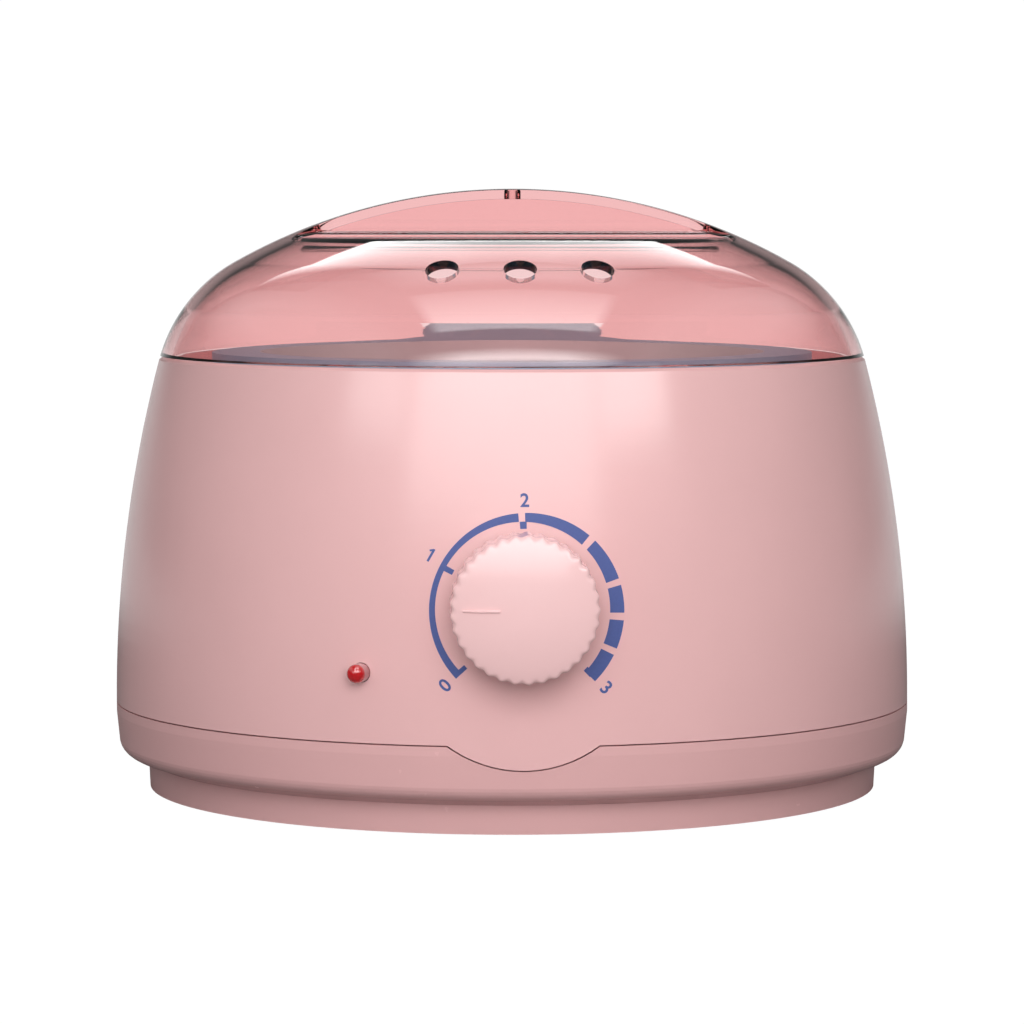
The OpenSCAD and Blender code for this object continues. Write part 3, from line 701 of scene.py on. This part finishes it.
class WARMER_OT_inner_parts(bpy.types.Operator):
    """Gives the parts inside the housing and under it their finishes"""
    bl_idname = "warmer.inner_parts"
    bl_label = "Inner parts"

    def execute(self, context):
        looks = (
            (matt("foot_rubber", (0.035, 0.035, 0.038), 0.7), ("rubber_feet", "cable_gland")),
            (drawn("screw_steel", (0.56, 0.56, 0.58), 0.3),
             ("case_screws", "clamp_screws", "thermostat_nut", "thermostat_spindle")),
            (drawn("strap_steel", (0.60, 0.60, 0.62), 0.28, (1, 1, 40), 400), ("band_clamps", "fuse_clip")),
            (matt("gasket_felt", (0.80, 0.78, 0.72), 0.9, 1500, 0.4), ("well_gasket",)),
            (matt("phenolic", (0.13, 0.055, 0.03), 0.5, 700, 0.2), ("well_support", "thermostat_body")),
            (drawn("band_steel", (0.42, 0.36, 0.27), 0.4, (1, 1, 25), 500), ("heater_band",)),
            (drawn("copper", (0.62, 0.27, 0.14), 0.3, (30, 1, 1), 500), ("sensor_block",)),
            (matt("fuse_ceramic", (0.60, 0.48, 0.30), 0.35, 600, 0.1), ("thermal_fuse",)),
            (matt("holder_plastic", (0.01, 0.01, 0.012), 0.5), ("lamp_holder",)),
            (matt("board_laminate", (0.02, 0.12, 0.045), 0.4, 1200, 0.2), ("lamp_board",)),
            (matt("block_plastic", (0.78, 0.74, 0.66), 0.45), ("terminal_block",)),
            (drawn("brass", (0.62, 0.42, 0.14), 0.3, (1, 1, 1), 900), ("terminal_screws",)),
        )
        for finish, names in looks:
            finish.dress(*(NODES[n] for n in names))
        return {"FINISHED"}


class WARMER_OT_stage(bpy.types.Operator):
    """Sets the floor, the backdrop, the lights and the camera"""
    bl_idname = "warmer.stage"
    bl_label = "Stage"

    WHITE, SCATTERED = 1.02, 0.57  # the backdrop's level to the camera and as light on the part
    LENS, SENSOR = 144.95, 36  # mm
    CLIP = 60  # metres
    EYE = (-25.36, -937.07, 132.465)  # mm
    EYE_TILT, EYE_TURN = 85.735, -1.55  # degrees
    AIM = 80  # mm, the height that the lights face
    REACH = 700  # mm from there to each softbox
    # Each softbox: azimuth from the front, elevation, width and height in degrees, level, the shares of
    # its width and height over which its edges fade, the shares of its level at the bottom and at the
    # top, and how much it narrows upwards.
    SOFTBOXES = (
        ("left_softbox", -43, 23, 22, 14, 4.2, 0.2, 0.3, 1, 1, 0),
        ("middle_softbox", -4, 20.5, 56, 22, 6.9, 0.05, 0.05, 0.2, 1, 0),
        ("right_softbox", 36, 23, 22, 14, 6.6, 0.1, 0.3, 1, 1, 0),
        ("upper_softbox", 0, 36, 62, 13, 11.0, 0.3, 0.5, 1, 1, 0),
        ("zenith_softbox", 180, 74, 44, 28, 1.6, 0.3, 0.3, 1, 1, 0),
        ("lid_softbox", 0, 72, 44, 34, 6.2, 0.08, 0.06, 1, 0.12, 0),
        ("back_softbox", 180, 54, 68, 22, 9.0, 0.35, 0.05, 1, 0.12, 1.4),
    )

    def execute(self, context):
        scene = context.scene
        scene.view_settings.view_transform = "Standard"
        self.world(scene)
        self.floor()
        self.fill(elevation=14, reach=480, size=300, level=3.9)
        for row in self.SOFTBOXES:
            self.softbox(*row)
        camera = bpy.data.cameras.new("camera")
        camera.lens, camera.sensor_width, camera.clip_end = self.LENS, self.SENSOR, self.CLIP
        eye = bpy.data.objects.new("camera", camera)
        eye.location = Vector(self.EYE) * MM
        eye.rotation_euler = (math.radians(self.EYE_TILT), 0, math.radians(self.EYE_TURN))
        scene.collection.objects.link(eye)
        scene.camera = eye
        return {"FINISHED"}

    def world(self, scene):
        """White to the camera. Each other kind of ray sees a backdrop of its own."""
        world = bpy.data.worlds.new("studio")
        world.use_nodes = True
        scene.world = world
        tree = world.node_tree
        rays = tree.nodes.new("ShaderNodeLightPath").outputs
        camera, glossy, through = (Value(tree, rays[name]) for name in (
            "Is Camera Ray", "Is Glossy Ray", "Is Transmission Ray"))
        split = tree.nodes.new("ShaderNodeSeparateXYZ")
        tree.links.new(tree.nodes.new("ShaderNodeTexCoord").outputs["Generated"], split.inputs[0])
        x, y, up = (Value(tree, socket) for socket in split.outputs)
        side = x.math("ABSOLUTE")
        # Through the lid: white straight behind, and dark above and at the sides, which draws its edges.
        zenith, flank = up.rising(0.08, 5, 0.95), side.rising(0.45, 3, 0.9)
        backdrop = (1 - zenith) * (1 - flank)
        # In gloss: dim, with a low glow behind and a wing on each side above it.
        behind = y.rising(0.62, 4) * up.rising(0.12, -12)
        wings = side.rising(0.45, 4, 0.7) * up.rising(0.34, 5)
        gloss = behind * 0.5 + wings + 0.10
        other = (1 - camera) * (1 - through)
        level = (camera * self.WHITE + through * backdrop + other * (1 - glossy) * self.SCATTERED
                 + other * glossy * gloss)
        ground = tree.nodes["Background"]
        feed(tree, ground.inputs["Color"], (1, 1, 1, 1))
        feed(tree, ground.inputs["Strength"], level)

    def floor(self):
        """Paper that is white to the camera and through the lid, and grey where it lights the part."""
        work = bmesh.new()
        bmesh.ops.create_grid(work, x_segments=2, y_segments=2, size=6)
        ground = as_object("floor", work)
        paper = Finish("floor_paper", Roughness=0.9, Specular_IOR_Level=0.0)
        fibre = paper.noise(30, 3)
        paper.vary(Base_Color=paper.blend(fibre, (0.19, 0.19, 0.19), (0.21, 0.21, 0.21)))
        glow = paper.add("ShaderNodeEmission", None, {"Color": (1, 1, 1), "Strength": 1.12})
        rays = paper.add("ShaderNodeLightPath").outputs
        far = paper.axes()[1].rising(0.3, 2, 0.6)
        gloss = far * Value(paper.tree, rays["Is Glossy Ray"])
        seen = Value(paper.tree, rays["Is Camera Ray"]).math("MAXIMUM", rays["Is Transmission Ray"])
        white = seen.math("MAXIMUM", gloss) * 0.9
        mix = paper.add("ShaderNodeMixShader", None,
                        {0: white, 1: paper.shader.outputs[0], 2: glow.outputs[0]})
        feed(paper.tree, paper.output.inputs["Surface"], mix.outputs[0])
        paper.dress(ground)

    def place(self, item, azimuth, elevation, reach):
        """Puts a lamp or a panel where the object sees it at these angles, and turns it to the object."""
        a, e = math.radians(azimuth), math.radians(elevation)
        way = Vector((math.sin(a) * math.cos(e), -math.cos(a) * math.cos(e), math.sin(e)))
        item.location = Vector((0, 0, self.AIM * MM)) + way * reach * MM
        item.rotation_euler = way.to_track_quat("Z", "Y").to_euler()

    def fill(self, elevation, reach, size, level):
        """The lamp in front, which lights the surfaces and doesn't show in them. Its level is a radiance."""
        light = bpy.data.lights.new("front_fill", "AREA")
        light.size = size * MM
        light.energy = level * light.size ** 2 * math.pi
        lamp = bpy.data.objects.new("front_fill", light)
        lamp.visible_camera = lamp.visible_transmission = lamp.visible_glossy = False
        bpy.context.scene.collection.objects.link(lamp)
        self.place(lamp, 0, elevation, reach)

    def softbox(self, name, azimuth, elevation, width, height, level, soft_x, soft_y, bottom, top, narrow):
        """A glowing panel that shows in the gloss alone."""
        work = bmesh.new()
        bmesh.ops.create_grid(work, x_segments=1, y_segments=1, size=0.5)
        across, along = (2 * self.REACH * MM * math.tan(math.radians(v / 2)) for v in (width, height))
        bmesh.ops.scale(work, verts=work.verts, vec=(across, along, 1))
        panel = as_object(name, work)
        glow = Finish(name, Emission_Strength=level, Base_Color=(0, 0, 0), Specular_IOR_Level=0.0)
        x, y = (axis * (1 / size) for axis, size in zip(glow.axes(), (across, along)))
        up = y + 0.5
        ends = (x.math("ABSOLUTE") * (up * narrow + 1)).rising(0.5, -1 / soft_x)
        edges = y.math("ABSOLUTE").rising(0.5, -1 / soft_y)
        share = ends * edges * (up * (top - bottom) + bottom)
        glow.vary(Emission_Color=glow.blend(share, (0, 0, 0), (1, 1, 1)))
        glow.dress(panel)
        panel.visible_camera = panel.visible_transmission = False
        panel.visible_diffuse = panel.visible_shadow = False
        self.place(panel, azimuth, elevation, self.REACH)


OPERATORS = (WARMER_OT_housing, WARMER_OT_knob, WARMER_OT_dial, WARMER_OT_lamp, WARMER_OT_lid,
             WARMER_OT_pot, WARMER_OT_inner_parts, WARMER_OT_stage)


class WARMER_PT_panel(bpy.types.Panel):
    """The sidebar's panel, with every size, every tone and every step"""
    bl_label = "Wax Warmer"
    bl_idname = "WARMER_PT_panel"
    bl_space_type = "VIEW_3D"
    bl_region_type = "UI"
    bl_category = "Wax Warmer"

    def draw(self, context):
        for group in (context.scene.warmer_sizes, context.scene.warmer_colours):
            box = self.layout.box()
            for key in group.__annotations__:
                box.prop(group, key)
        for step in OPERATORS:
            self.layout.operator(step.bl_idname)


CLASSES = (WarmerSizes, WarmerColours, *OPERATORS, WARMER_PT_panel)


def register():
    for item in CLASSES:
        bpy.utils.register_class(item)
    bpy.types.Scene.warmer_sizes = PointerProperty(type=WarmerSizes)
    bpy.types.Scene.warmer_colours = PointerProperty(type=WarmerColours)


def unregister():
    del bpy.types.Scene.warmer_colours
    del bpy.types.Scene.warmer_sizes
    for item in reversed(CLASSES):
        bpy.utils.unregister_class(item)


def main():
    """Dresses the part."""
    register()
    for step in OPERATORS:
        getattr(bpy.ops.warmer, step.bl_idname.split(".")[1])()


if __name__ == "__main__":
    main()
